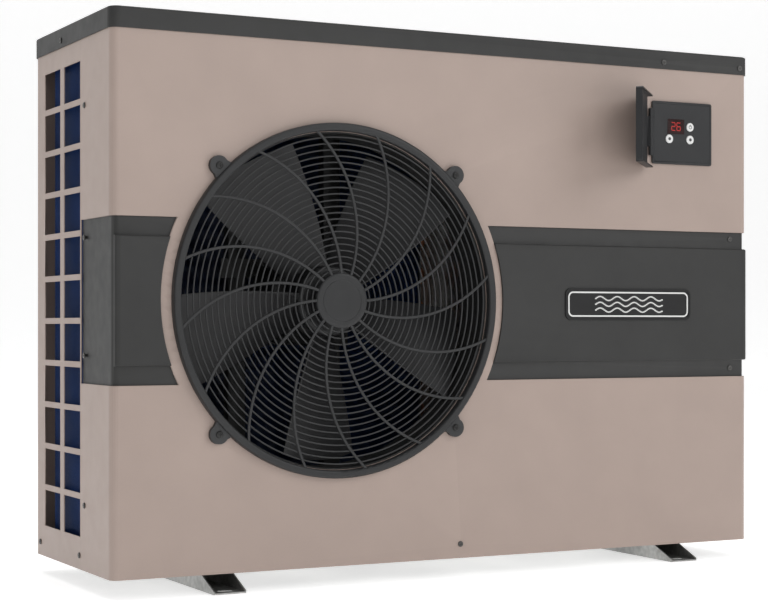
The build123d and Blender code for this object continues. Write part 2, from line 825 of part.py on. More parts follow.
def reversing_valve():
    z = floor + 470
    x = comp_x + 20
    y = comp_y - 20
    body = along_x(y, z, x - 55, x + 55, 13)
    body = fillet(body.edges(), 5)
    stub = upright(x, y, z + 8, z + 36, 6)
    for dx in (-24, 0, 24):
        body = body + upright(x + dx, y, z - 36, z - 8, 6)
    pilot = along_x(y - 24, z, x - 22, x + 22, 6) + block(x - 4, x + 4, y - 24, y - 8, z - 3, z + 3)
    return body + stub + pilot


def refrigerant_lines():
    z = floor + 470
    x = comp_x + 20
    y = comp_y - 20
    top_z = floor + 26 + compressor_height + 16
    lines = []
    near_x = comp_x - 60
    discharge = [
        (comp_x, comp_y, top_z + 0.3), (comp_x, comp_y, top_z + 60), (near_x, comp_y, top_z + 60),
        (near_x, comp_y, z + 80), (x, comp_y, z + 80), (x, y, z + 80), (x, y, z + 36.3)
    ]
    lines.append(pipe(discharge, 5.0, 9.0))
    acc_top = floor + 60 + accumulator_height + 0.3
    suction = [
        (x, y, z - 36.3), (x, y, z - 70), (x, acc_y, z - 70),
        (acc_x, acc_y, z - 70), (acc_x, acc_y, acc_top)
    ]
    lines.append(pipe(suction, 5.0, 9.0))
    ex_top = floor + 30 + exchanger_height + 0.3
    heating = [
        (x + 24, y, z - 36.3), (x + 24, y, z - 52), (ex_x, y, z - 52),
        (ex_x, ex_y, z - 52), (ex_x, ex_y, ex_top)
    ]
    lines.append(pipe(heating, 5.0, 9.0))
    return Compound(children=lines)


def filter_drier():
    x = comp_x + 104.0
    y = back - 34.0
    z = floor + 420.0
    can = upright(x, y, z, z + 80, 16)
    can = fillet(can.edges(), 8)
    return can + upright(x, y, z - 16, z + 96, 5)


def expansion_valve():
    x = comp_x + 104.0
    y = back - 34.0
    z = floor + 364.0
    body = upright(x, y, z, z + 24, 12) + upright(x, y, z + 24, z + 39.7, 5)
    head = along_y(x, z + 10, y - 40, y - 11, 10)
    return body + head


box_x0 = left + partition_from_left + 26.0
box_x1 = right - 36.0
box_y0 = front + 46.0
box_y1 = front + 150.0
box_z0 = floor + 560.0
box_z1 = floor + 730.0


def electrical_box():
    shell = block(box_x0, box_x1, box_y0, box_y1, box_z0, box_z1)
    inner = block(box_x0 + 1.5, box_x1 - 1.5, box_y0 - 1, box_y1 - 1.5, box_z0 + 1.5, box_z1 - 1.5)
    entry = upright(box_x0 + 40, box_y0 + 60, box_z0 - 1, box_z0 + 4, 12)
    return shell - inner - entry


def electrical_lid():
    lid = block(box_x0 + 2, box_x1 - 2, box_y0 - 2, box_y0 - 0.3, box_z0 + 2, box_z1 - 2)
    vent = Box(3, 10, 30)
    for i in range(8):
        lid = lid - Pos(box_x0 + 60 + i * 8, box_y0, box_z0 + 50) * vent
    return lid


def control_board():
    y1 = box_y1 - 1.5
    board = block(box_x0 + 20, box_x0 + 190, y1 - 10, y1 - 8.4, box_z0 + 20, box_z1 - 20)
    chips = []
    sizes = (
        (20, 20, 40, 30, 18), (70, 20, 24, 24, 22), (104, 16, 50, 40, 10),
        (20, 66, 60, 44, 14), (92, 70, 18, 30, 20), (118, 70, 18, 30, 20)
    )
    for dx, dz, w, h, d in sizes:
        cx = box_x0 + 20 + dx
        cz = box_z0 + 20 + dz
        chips.append(block(cx, cx + w, y1 - 10 - d, y1 - 9.9, cz, cz + h))
    posts = [along_y(box_x0 + 20 + a, box_z0 + 20 + b, y1 - 8.5, y1, 3) for a in (6, 164) for b in (6, 124)]
    shape = board
    for piece in chips + posts:
        shape = shape + piece
    return shape


def terminal_block():
    y1 = box_y1 - 1.5
    shape = block(box_x1 - 120, box_x1 - 10, y1 - 26, y1, box_z0 + 16, box_z0 + 50)
    for i in range(6):
        shape = shape - along_y(box_x1 - 111 + i * 18.4, box_z0 + 33, y1 - 30, y1 - 14, 5)
    return shape


def contactor():
    y1 = box_y1 - 1.5
    body = block(box_x1 - 70, box_x1 - 20, y1 - 54, y1, box_z0 + 66, box_z0 + 130)
    return body + block(box_x1 - 58, box_x1 - 32, y1 - 62, y1 - 53, box_z0 + 82, box_z0 + 114)


def run_capacitor():
    y1 = box_y1 - 1.5
    can = upright(box_x1 - 104, y1 - 24, box_z0 + 62, box_z0 + 140, 22)
    return fillet(can.edges(), 3)


def flow_switch():
    z = union_levels()[1]
    x = union_x()
    y = (ex_y + exchanger_radius + back - 24) / 2
    paddle_cap = upright(x, y, z + 23.2, z + 34, 11)
    head = extrude(Pos(x, y, z + 34) * RegularPolygon(15, 6), 24)
    return paddle_cap + head


ctrl_x0 = left + controller_from_left
ctrl_x1 = ctrl_x0 + controller_width
ctrl_z0 = floor + controller_bottom
ctrl_z1 = ctrl_z0 + controller_height
face_y = front - controller_proud
hinge_x = ctrl_x0 - hinge_offset
hinge_y = front - 4.6


def controller_case():
    frame = block(ctrl_x0, ctrl_x1, face_y, front - 0.1, ctrl_z0, ctrl_z1)
    frame = fillet(frame.edges().filter_by(Axis.Y), 3)
    tub = block(ctrl_x0 + 5, ctrl_x1 - 5, front - 0.2, front + controller_depth, ctrl_z0 + 5, ctrl_z1 - 5)
    deep = front + controller_depth - 2
    hollow = block(ctrl_x0 + 7, ctrl_x1 - 7, front - 1.5, deep, ctrl_z0 + 7, ctrl_z1 - 7)
    recess = block(ctrl_x0 + 3.5, ctrl_x1 - 3.5, face_y - 1, front - 0.9, ctrl_z0 + 3.5, ctrl_z1 - 3.5)
    shape = frame + tub - hollow - recess
    for z in (ctrl_z0 + 12, ctrl_z1 - 12 - knuckle_length):
        knuckle = upright(hinge_x, hinge_y, z, z + knuckle_length, knuckle_radius)
        web = block(hinge_x, ctrl_x0 + 3.4, hinge_y + 0.6, front - 0.4, z, z + knuckle_length)
        shape = shape + knuckle + web
        shape = shape - upright(hinge_x, hinge_y, z - 1, z + knuckle_length + 1, hinge_pin_radius)
    return shape


def button_centres():
    return {
        "button_power": (ctrl_x0 + 68.7, ctrl_z0 + 57.1),
        "button_up": (ctrl_x0 + 68.7, ctrl_z0 + 38.1),
        "button_down": (ctrl_x0 + 30.7, ctrl_z0 + 38.1),
    }


display_x = ctrl_x0 + 43.0
display_z = ctrl_z0 + 57.0


def controller_face():
    face = block(ctrl_x0 + 3.8, ctrl_x1 - 3.8, face_y + 0.3, face_y + 1.9, ctrl_z0 + 3.8, ctrl_z1 - 3.8)
    for x, z in button_centres().values():
        face = face - along_y(x, z, face_y - 1, face_y + 4, button_radius + button_gap)
    half_w = display_width / 2 + 0.2
    half_h = display_height / 2 + 0.2
    x0, x1, z0, z1 = (display_x - half_w, display_x + half_w, display_z - half_h, display_z + half_h)
    face = face - block(x0, x1, face_y - 1, face_y + 4, z0, z1)
    return face


def display_window():
    half_w = display_width / 2
    half_h = display_height / 2
    x0, x1, z0, z1 = (display_x - half_w, display_x + half_w, display_z - half_h, display_z + half_h)
    lens = block(x0, x1, face_y + 0.2, face_y + 5, z0, z1)
    return fillet(lens.edges().filter_by(Axis.Y), 1.0)


def display_board():
    y0 = front + 7
    return block(ctrl_x0 + 8, ctrl_x1 - 8, y0, y0 + 1.6, ctrl_z0 + 8, ctrl_z1 - 8)


def button(name):
    x, z = button_centres()[name]
    cap = along_y(x, z, face_y - button_proud, face_y - button_proud + button_length, button_radius)
    return fillet(cap.edges().group_by(Axis.Y)[0], 0.8)


def closed_flap():
    x1 = ctrl_x1 + flap_margin
    z0 = ctrl_z0 - flap_margin - 1.5
    z1 = ctrl_z1 + flap_margin + 1.5
    y1 = front - 0.8
    y0 = y1 - flap_rim - flap_thickness
    x0 = hinge_x + 4.0
    plate = block(hinge_x, x1, y0, y1, z0, z1)
    plate = fillet(plate.edges().filter_by(Axis.Y).group_by(Axis.X)[-1], 4)
    hollow = block(hinge_x - 1, x1 - 2.2, y0 + flap_thickness, y1 + 1, z0 + 2.2, z1 - 2.2)
    shape = plate - hollow
    z2 = ctrl_z0 + 12 + knuckle_length + 0.4
    z3 = ctrl_z1 - 12 - knuckle_length - 0.4
    clear = upright(hinge_x, hinge_y, z0 - 1, z1 + 1, knuckle_radius + 0.8)
    shape = shape - clear
    shape = shape - block(hinge_x - 1, hinge_x + 6, y0 + flap_thickness, y1 + 1, z0 - 1, z1 + 1)
    knuckle = upright(hinge_x, hinge_y, z2, z3, knuckle_radius)
    shape = shape - block(hinge_x - 2, hinge_x + flap_root, y0 - 1, y1 + 1, z0 - 1, z1 + 1)
    web = block(hinge_x, hinge_x + flap_root + 0.1, hinge_y - 4.3, hinge_y - 1.5, z2, z3)
    web = web + block(hinge_x + flap_root - 0.1, hinge_x + flap_root + 3, y0 + 0.4, hinge_y - 1.5, z2, z3)
    shape = shape + web + knuckle
    latch = block(x1 - 4.4, x1 - 2.0, y1 - 5, y1 - 1, (z0 + z1) / 2 - 5, (z0 + z1) / 2 + 5)
    shape = shape + latch
    return shape - upright(hinge_x, hinge_y, z2 - 1, z3 + 1, hinge_pin_radius + running_clearance)


def controller_flap():
    local = Pos(-hinge_x, -hinge_y, 0) * closed_flap()
    return Pos(hinge_x, hinge_y, 0) * (Rot(0, 0, -flap_open_angle) * local)


def hinge_pin():
    pin = upright(hinge_x, hinge_y, ctrl_z0 + 12, ctrl_z1 - 12, hinge_pin_radius)
    return pin


def heat_exchanger_ported():
    return exchanger_ports_cut(heat_exchanger())


def base_bolts():
    return Compound(children=foot_bolts().solids() + compressor_bolts().solids())


def makers():
    parts = {
        "base_pan": base_pan,
        "foot_left": lambda: foot(-anchor_spacing_x / 2),
        "foot_right": lambda: foot(anchor_spacing_x / 2),
        "base_bolts": base_bolts,
        "front_panel": front_panel,
        "band_left": lambda: band_trim(True),
        "band_right": lambda: band_trim(False),
        "badge_plate": badge_plate,
        "guard_frame": guard_frame,
        "guard_net": guard_net,
        "guard_screws": guard_screws,
        "casing_screws": casing_screws,
        "side_grille": side_grille,
        "rear_grille": rear_grille,
        "rear_panel": rear_panel,
        "side_panel": side_panel,
        "side_grip": side_grip,
        "top_cover": top_cover,
        "partition": partition,
        "fan_shroud": fan_shroud,
        "fan_rotor": fan_rotor,
        "motor_shaft": motor_shaft,
        "fan_nut": fan_nut,
        "fan_motor": fan_motor,
        "motor_rails": motor_rails,
        "coil_fins": coil_fins,
        "coil_plates": coil_plates,
        "coil_bends": coil_bends,
        "compressor": compressor,
        "compressor_grommets": compressor_grommets,
        "accumulator": accumulator,
        "heat_exchanger": heat_exchanger_ported,
        "water_pipes": water_pipes,
        "union_bodies": union_bodies,
        "union_seals": union_seals,
        "union_tails": union_tails,
        "union_nut_inlet": lambda: union_nut(union_levels()[0]),
        "union_nut_outlet": lambda: union_nut(union_levels()[1]),
        "cable_gland": cable_gland,
        "condensate_spout": condensate_spout,
        "reversing_valve": reversing_valve,
        "refrigerant_lines": refrigerant_lines,
        "filter_drier": filter_drier,
        "expansion_valve": expansion_valve,
        "electrical_box": electrical_box,
        "electrical_lid": electrical_lid,
        "control_board": control_board,
        "terminal_block": terminal_block,
        "contactor": contactor,
        "run_capacitor": run_capacitor,
        "flow_switch": flow_switch,
        "controller_case": controller_case,
        "controller_face": controller_face,
        "display_window": display_window,
        "display_board": display_board,
        "button_power": lambda: button("button_power"),
        "button_up": lambda: button("button_up"),
        "button_down": lambda: button("button_down"),
        "controller_flap": controller_flap,
        "hinge_pin": hinge_pin,
    }
    return parts


def main():
    os.makedirs("parts", exist_ok=True)
    for name, make in makers().items():
        shape = make()
        export_step(shape, "parts/" + name + ".step")
        print(name, round(shape.volume / 1000, 1), "cm3", len(shape.solids()), "solids")


main()
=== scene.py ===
import bmesh
import bpy
import json
import math
from mathutils import Matrix, Vector


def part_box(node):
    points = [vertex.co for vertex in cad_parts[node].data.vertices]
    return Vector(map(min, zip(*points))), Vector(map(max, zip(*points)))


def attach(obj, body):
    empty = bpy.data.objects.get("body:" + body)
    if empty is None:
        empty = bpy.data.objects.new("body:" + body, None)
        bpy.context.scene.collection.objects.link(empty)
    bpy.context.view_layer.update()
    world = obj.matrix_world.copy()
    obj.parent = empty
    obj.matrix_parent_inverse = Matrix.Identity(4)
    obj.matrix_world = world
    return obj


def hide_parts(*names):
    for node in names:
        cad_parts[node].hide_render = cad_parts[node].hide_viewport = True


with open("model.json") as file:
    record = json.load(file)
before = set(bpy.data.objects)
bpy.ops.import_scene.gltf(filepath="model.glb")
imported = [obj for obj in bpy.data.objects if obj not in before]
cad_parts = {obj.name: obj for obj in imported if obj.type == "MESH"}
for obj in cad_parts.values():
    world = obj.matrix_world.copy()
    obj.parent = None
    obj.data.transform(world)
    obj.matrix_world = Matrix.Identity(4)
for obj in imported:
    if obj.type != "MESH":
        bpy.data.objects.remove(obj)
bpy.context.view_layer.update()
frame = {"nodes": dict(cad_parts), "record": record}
slotOf = {part["node"]: part["material_slot"] for part in frame["record"]["subparts"]}
bodyOf = {node: name for name, nodes in frame["record"]["behaviour"]["bodies"].items() for node in nodes}


# finishes: base colour, roughness, metal, then the grain in metres and how strongly each effect shows; the last effect
# is a painted edge highlight
finishLooks = {
    "tan_coat": dict(colour=(0.372, 0.291, 0.254), rough=0.46, metal=0.0, grain=0.0011, bump=0.10, blotch=0.035, edgeHighlight=0.10),
    "dark_coat": dict(colour=(0.027, 0.027, 0.0265), specular=0.35, rough=0.54, metal=0.0, grain=0.0009, bump=0.16, blotch=0.10, edgeHighlight=0.25),
    "galvanised": dict(colour=(0.42, 0.42, 0.41), rough=0.38, metal=0.85, grain=0.012, bump=0.03, blotch=0.30, edgeHighlight=0.0),
    "zinc_screw": dict(colour=(0.10, 0.098, 0.095), rough=0.40, metal=0.8, grain=0.0016, bump=0.05, blotch=0.15, edgeHighlight=0.0),
    "dark_plastic": dict(colour=(0.016, 0.0165, 0.018), specular=0.35, rough=0.46, metal=0.0, grain=0.0006, bump=0.16, blotch=0.10, edgeHighlight=0.2),
    "guard_coat": dict(colour=(0.022, 0.0225, 0.0235), specular=0.38, rough=0.46, metal=0.0, grain=0.0007, bump=0.12, blotch=0.10, edgeHighlight=0.25),
    "fan_plastic": dict(colour=(0.016, 0.016, 0.017), rough=0.40, metal=0.0, grain=0.0009, bump=0.10, blotch=0.18, edgeHighlight=0.0),
    "coil_blue": dict(colour=(0.020, 0.052, 0.175), rough=0.34, metal=0.25, grain=0.004, bump=0.05, blotch=0.22, edgeHighlight=0.0),
    "copper": dict(colour=(0.62, 0.27, 0.15), rough=0.30, metal=1.0, grain=0.006, bump=0.03, blotch=0.25, edgeHighlight=0.0),
    "inner_dark": dict(colour=(0.018, 0.018, 0.018), rough=0.60, metal=0.0, grain=0.002, bump=0.08, blotch=0.20, edgeHighlight=0.0),
    "motor_black": dict(colour=(0.022, 0.022, 0.024), rough=0.32, metal=0.0, grain=0.0012, bump=0.08, blotch=0.12, edgeHighlight=0.0),
    "rubber": dict(colour=(0.016, 0.016, 0.016), rough=0.72, metal=0.0, grain=0.0008, bump=0.18, blotch=0.15, edgeHighlight=0.0),
    "pvc_grey": dict(colour=(0.15, 0.155, 0.16), rough=0.36, metal=0.0, grain=0.0010, bump=0.06, blotch=0.08, edgeHighlight=0.0),
    "pvc_white": dict(colour=(0.66, 0.66, 0.63), rough=0.34, metal=0.0, grain=0.0012, bump=0.05, blotch=0.05, edgeHighlight=0.0),
    "board_green": dict(colour=(0.015, 0.10, 0.045), rough=0.30, metal=0.0, grain=0.003, bump=0.05, blotch=0.20, edgeHighlight=0.0),
    "key_white": dict(colour=(0.74, 0.74, 0.73), rough=0.30, metal=0.0, grain=0.0005, bump=0.04, blotch=0.03, edgeHighlight=0.0),
    "display_dark": dict(colour=(0.022, 0.006, 0.006), rough=0.16, metal=0.0, grain=0.0006, bump=0.02, blotch=0.10, edgeHighlight=0.0),
    "badge_dark": dict(colour=(0.012, 0.012, 0.0125), specular=0.35, rough=0.36, metal=0.0, grain=0.0008, bump=0.06, blotch=0.08, edgeHighlight=0.0),
    "brass": dict(colour=(0.52, 0.37, 0.14), rough=0.32, metal=1.0, grain=0.002, bump=0.04, blotch=0.15, edgeHighlight=0.0),
}


def makeFinish(name, look):
    material = bpy.data.materials.new(name)
    material.use_nodes = True
    nodes, links = material.node_tree.nodes, material.node_tree.links
    shader = nodes["Principled BSDF"]
    shader.inputs["Metallic"].default_value = look["metal"]
    shader.inputs["Specular IOR Level"].default_value = look.get("specular", 0.5)
    coordinates = nodes.new("ShaderNodeTexCoord")

    def noise(size, detail):
        node = nodes.new("ShaderNodeTexNoise")
        node.inputs["Scale"].default_value = 1.0 / size
        node.inputs["Detail"].default_value = detail
        links.new(coordinates.outputs["Object"], node.inputs["Vector"])
        return node.outputs["Fac"]

    def spread(value, low, high):
        node = nodes.new("ShaderNodeMapRange")
        node.inputs["From Min"].default_value = 0.3
        node.inputs["From Max"].default_value = 0.7
        node.inputs["To Min"].default_value = low
        node.inputs["To Max"].default_value = high
        links.new(value, node.inputs["Value"])
        return node.outputs["Result"]

    # slow patches and fine speckle darken or lighten the base colour a little
    patches = spread(noise(0.09, 3.0), 1.0 - look["blotch"], 1.0 + look["blotch"])
    speckle = spread(noise(look["grain"] * 0.7, 2.0), 1.0 - look["blotch"] * 0.6, 1.0 + look["blotch"] * 0.6)
    both = nodes.new("ShaderNodeMath")
    both.operation = "MULTIPLY"
    links.new(patches, both.inputs[0])
    links.new(speckle, both.inputs[1])
    tint = nodes.new("ShaderNodeVectorMath")
    tint.operation = "SCALE"
    tint.inputs[0].default_value = look["colour"]
    links.new(both.outputs["Value"], tint.inputs["Scale"])
    colour = tint.outputs["Vector"]
    if look["edgeHighlight"] > 0:
        # painted highlight: edges are paler where the surface turns sharply, as if they were catching the light
        shape = nodes.new("ShaderNodeNewGeometry")
        edgeHighlightMask = nodes.new("ShaderNodeMapRange")
        edgeHighlightMask.inputs["From Min"].default_value = 0.53
        edgeHighlightMask.inputs["From Max"].default_value = 0.62
        edgeHighlightMask.inputs["To Max"].default_value = look["edgeHighlight"]
        links.new(shape.outputs["Pointiness"], edgeHighlightMask.inputs["Value"])
        edgeHighlightMix = nodes.new("ShaderNodeMix")
        edgeHighlightMix.data_type = "RGBA"
        edgeHighlightMix.inputs["B"].default_value = tuple(min(1.0, c * 1.6 + 0.03) for c in look["colour"]) + (1.0,)
        links.new(edgeHighlightMask.outputs["Result"], edgeHighlightMix.inputs["Factor"])
        links.new(colour, edgeHighlightMix.inputs["A"])
        colour = edgeHighlightMix.outputs["Result"]
    links.new(colour, shader.inputs["Base Color"])
    links.new(spread(noise(0.02, 4.0), look["rough"] - 0.04, look["rough"] + 0.05), shader.inputs["Roughness"])
    bump = nodes.new("ShaderNodeBump")
    bump.inputs["Strength"].default_value = look["bump"]
    bump.inputs["Distance"].default_value = look["grain"] * 0.25
    links.new(noise(look["grain"], 3.0), bump.inputs["Height"])
    links.new(bump.outputs["Normal"], shader.inputs["Normal"])
    return material


finishes = {name: makeFinish(name, look) for name, look in finishLooks.items()}
markLooks = {
    "badge_line": dict(colour=(0.72, 0.72, 0.71), rough=0.36, metal=0.0, grain=0.0004, bump=0.04, blotch=0.04, edgeHighlight=0.0),
    "key_mark": dict(colour=(0.05, 0.05, 0.052), rough=0.4, metal=0.0, grain=0.0004, bump=0.02, blotch=0.05, edgeHighlight=0.0),
}
finishes.update({name: makeFinish(name, look) for name, look in markLooks.items()})
digitLook = dict(colour=(0.30, 0.012, 0.010), rough=0.3, metal=0.0, grain=0.0005, bump=0.02, blotch=0.15, edgeHighlight=0.0)
finishes["digit_red"] = makeFinish("digit_red", digitLook)
digitShader = finishes["digit_red"].node_tree.nodes["Principled BSDF"]
digitShader.inputs["Emission Color"].default_value = (0.55, 0.02, 0.015, 1.0)
digitShader.inputs["Emission Strength"].default_value = 0.25
print("finishes made:", len(finishes))


def place(bm, name, body, slotName, finish=None, replaced=(), sharp=34):
    # turns a bmesh into a finished piece that rides on a body
    mesh = bpy.data.meshes.new(name)
    bm.to_mesh(mesh)
    bm.free()
    mesh.materials.append(finishes[finish or slotName])
    for face in mesh.polygons:
        face.use_smooth = True
    mesh.set_sharp_from_angle(angle=math.radians(sharp))
    piece = bpy.data.objects.new(name, mesh)
    bpy.context.scene.collection.objects.link(piece)
    # wide flats keep their own direction beside a rounded corner
    flats = piece.modifiers.new("flats", "WEIGHTED_NORMAL")
    flats.keep_sharp = True
    flats.weight = 100
    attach(piece, body)
    if replaced:
        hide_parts(*replaced)
    return piece


def joinedCopy(node, sharp=34, finish=None):
    # the same shape with its faces joined, so that curves shade smoothly
    bm = bmesh.new()
    bm.from_mesh(frame["nodes"][node].data)
    bmesh.ops.remove_doubles(bm, verts=bm.verts, dist=0.00001)
    return place(bm, node + "_skin", bodyOf[node], slotOf[node], finish, [node], sharp)


# CAD nodes that stay as they are take their procedural finish here
for node, part in frame["nodes"].items():
    part.data.materials.clear()
    part.data.materials.append(finishes[slotOf[node]])

# parts that keep their CAD shape, drawn as one joined surface each
joinedParts = [
    "front_panel", "side_grille", "rear_grille", "rear_panel", "side_panel", "top_cover", "band_left", "band_right",
    "foot_left", "foot_right", "base_pan", "side_grip", "guard_frame", "fan_rotor", "fan_shroud", "guard_screws",
    "casing_screws", "controller_case", "controller_face", "controller_flap", "button_power", "button_up", "button_down",
    "union_bodies", "union_tails", "union_nut_inlet", "union_nut_outlet", "cable_gland", "condensate_spout", "fan_motor",
    "motor_rails", "fan_nut", "motor_shaft",
]
# painted shade: motor, rails and shroud take the near-black inner_dark finish in place of their own, darkened for the
# shaded inside of the cabinet
shadeDarkenedParts = {"motor_rails", "fan_motor", "fan_shroud"}
for node in joinedParts:
    joinedCopy(node, finish="inner_dark" if node in shadeDarkenedParts else None)
print("casing and moulded parts joined:", len(joinedParts))


# fan guard: round wires behind swept ribs, with a dished hub
guardNet = dict(firstWire=0.043, wirePitch=0.00857, wires=22, wireRadius=0.00115, wireDepth=-0.1958,
                ribs=16, ribWidth=0.0040, ribThickness=0.0028, ribDepth=-0.1976, ribSweep=32.0, ribStart=0.034, ribEnd=0.2348,
                hubRadius=0.038, hubFront=-0.2006, hubBack=-0.1944)
netLow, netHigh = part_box("guard_net")
fanCentre = Vector(((netLow[0] + netHigh[0]) / 2, 0.0, (netLow[2] + netHigh[2]) / 2))


def sectionRing(bm, width, thickness, centre, sides):
    # a wire's cross-section, standing in the plane that holds the fan axis
    ring = bmesh.ops.create_circle(bm, cap_ends=False, radius=0.5, segments=sides)["verts"]
    for vert in ring:
        flat = vert.co.copy()
        vert.co = Vector((centre[0] + flat.x * width, centre[1] + flat.y * thickness, centre[2]))
    return ring


def makeGuardNet(look):
    bm = bmesh.new()
    for i in range(look["wires"]):
        radius = look["firstWire"] + i * look["wirePitch"]
        thick = look["wireRadius"] * 2
        ring = sectionRing(bm, thick, thick, fanCentre + Vector((radius, look["wireDepth"], 0)), 8)
        edges = [e for e in bm.edges if e.verts[0] in ring and e.verts[1] in ring]
        bmesh.ops.spin(bm, geom=ring + edges, cent=fanCentre, axis=(0, 1, 0), angle=math.tau, steps=128, use_merge=True)
    bmesh.ops.recalc_face_normals(bm, faces=bm.faces)

    # each rib is an arc from the hub, leaving it nearly straight out
    sweep = math.radians(look["ribSweep"])
    start = Vector((look["ribStart"], 0.0))
    end = Vector((look["ribEnd"] * math.cos(sweep), look["ribEnd"] * math.sin(sweep)))
    leave = Vector((1.0, 0.06)).normalized()
    across = Vector((-leave.y, leave.x))
    span = end - start
    bend = span.length_squared / (2 * across.dot(span))
    middle = start + across * bend
    turn = 2 * math.asin(span.length / (2 * abs(bend)))
    for i in range(look["ribs"]):
        spoke = Matrix.Rotation(-math.tau * i / look["ribs"], 3, "Y")
        section = bmesh.ops.create_circle(bm, cap_ends=False, radius=0.5, segments=8)["verts"]
        for vert in section:
            flat = vert.co.copy()
            along = Vector((start.x - leave.y * flat.x * look["ribWidth"], flat.y * look["ribThickness"],
                            start.y + leave.x * flat.x * look["ribWidth"]))
            vert.co = fanCentre + Vector((0, look["ribDepth"], 0)) + spoke @ along
        edges = [e for e in bm.edges if e.verts[0] in section and e.verts[1] in section]
        pivot = fanCentre + spoke @ Vector((middle.x, 0, middle.y))
        bmesh.ops.spin(bm, geom=section + edges, cent=pivot, axis=(0, 1, 0), angle=-turn, steps=28)
    bmesh.ops.holes_fill(bm, edges=[e for e in bm.edges if e.is_boundary], sides=12)

    # dished hub turned about the fan axis
    outline = [(0.0, 0.0006), (0.012, 0.0006), (0.0145, 0.0), (0.027, 0.0), (0.0285, 0.0009), (0.0300, 0.0), (0.0345, 0.0),
               (0.0368, 0.0008), (look["hubRadius"], 0.0024)]
    verts = [bm.verts.new(fanCentre + Vector((r, look["hubFront"] + d, 0))) for r, d in outline]
    verts.append(bm.verts.new(fanCentre + Vector((look["hubRadius"], look["hubBack"], 0))))
    verts.append(bm.verts.new(fanCentre + Vector((0, look["hubBack"], 0))))
    edges = [bm.edges.new(pair) for pair in zip(verts, verts[1:])]
    bmesh.ops.spin(bm, geom=verts + edges, cent=fanCentre, axis=(0, 1, 0), angle=math.tau, steps=96, use_merge=True)
    bmesh.ops.remove_doubles(bm, verts=bm.verts, dist=0.000001)
    bmesh.ops.recalc_face_normals(bm, faces=bm.faces)
    return place(bm, "guard_wires", "cabinet", "guard_coat", replaced=["guard_net"], sharp=40)


makeGuardNet(guardNet)
print("fan guard made")


# coil: thin upright fins along an L, with level tubes through them
coil = dict(inset=0.010, thickness=0.040, bendRadius=0.060, fin=0.00022, pitch=0.0022, tubeRadius=0.0047, levels=26)
coilLow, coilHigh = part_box("coil_fins")


def makeFins(look):
    bm = bmesh.new()
    height = coilHigh[2] - coilLow[2]
    mid = (coilHigh[2] + coilLow[2]) / 2
    centre = Vector((coilLow[0] + look["bendRadius"], coilHigh[1] - look["bendRadius"], mid))
    reach = look["bendRadius"] - look["thickness"] / 2
    stops = []
    y = coilLow[1] + look["pitch"] / 2
    while y < centre.y:
        stops.append(Matrix.Translation((centre.x - reach, y, mid)))
        y += look["pitch"]
    turns = int(reach * math.pi / 2 / look["pitch"])
    for i in range(turns + 1):
        lean = Matrix.Rotation(-math.pi / 2 * i / turns, 4, "Z")
        stops.append(Matrix.Translation(centre) @ lean @ Matrix.Translation((-reach, 0, 0)))
    x = centre.x + look["pitch"]
    while x < coilHigh[0]:
        stops.append(Matrix.Translation((x, centre.y + reach, mid)) @ Matrix.Rotation(-math.pi / 2, 4, "Z"))
        x += look["pitch"]
    size = Matrix.Diagonal((look["thickness"] - 0.0004, look["fin"], height, 1.0))
    for stop in stops:
        bmesh.ops.create_cube(bm, size=1.0, matrix=stop @ size)
    return place(bm, "coil_fin_pack", "cabinet", "coil_blue", replaced=["coil_fins"])


def makeTubes(look):
    bm = bmesh.new()
    gap = (coilHigh[2] - coilLow[2]) / look["levels"]
    reach = look["bendRadius"] - look["thickness"] / 2
    pivotX, pivotY = coilLow[0] + look["bendRadius"], coilHigh[1] - look["bendRadius"]
    for i in range(look["levels"]):
        z = coilLow[2] + gap * (i + 0.5)
        stand = Matrix.Translation((pivotX - reach, coilLow[1] + 0.001, z)) @ Matrix.Rotation(math.pi / 2, 4, "X")
        ring = bmesh.ops.create_circle(bm, cap_ends=False, radius=look["tubeRadius"], segments=10, matrix=stand)["verts"]
        edges = [e for e in bm.edges if e.verts[0] in ring and e.verts[1] in ring]
        run = bmesh.ops.extrude_edge_only(bm, edges=edges)["geom"]
        verts = [v for v in run if isinstance(v, bmesh.types.BMVert)]
        bmesh.ops.translate(bm, verts=verts, vec=(0, pivotY - coilLow[1] - 0.001, 0))
        edges = [e for e in run if isinstance(e, bmesh.types.BMEdge)]
        turned = bmesh.ops.spin(bm, geom=verts + edges, cent=(pivotX, pivotY, z), axis=(0, 0, 1), angle=-math.pi / 2, steps=8)["geom_last"]
        edges = [e for e in turned if isinstance(e, bmesh.types.BMEdge)]
        run = bmesh.ops.extrude_edge_only(bm, edges=edges)["geom"]
        verts = [v for v in run if isinstance(v, bmesh.types.BMVert)]
        bmesh.ops.translate(bm, verts=verts, vec=(coilHigh[0] - pivotX - 0.001, 0, 0))
    bmesh.ops.holes_fill(bm, edges=[e for e in bm.edges if e.is_boundary], sides=12)
    bmesh.ops.recalc_face_normals(bm, faces=bm.faces)
    return place(bm, "coil_tubes", "cabinet", "copper")


makeFins(coil)
makeTubes(coil)
print("coil made")


# small flat marks on the front: a blank badge with an outline and water lines, key marks and display digits
def bar(bm, x0, x1, z0, z1, front, depth):
    size = Matrix.Diagonal((x1 - x0, depth, z1 - z0, 1.0))
    bmesh.ops.create_cube(bm, size=1.0, matrix=Matrix.Translation(((x0 + x1) / 2, front + depth / 2, (z0 + z1) / 2)) @ size)


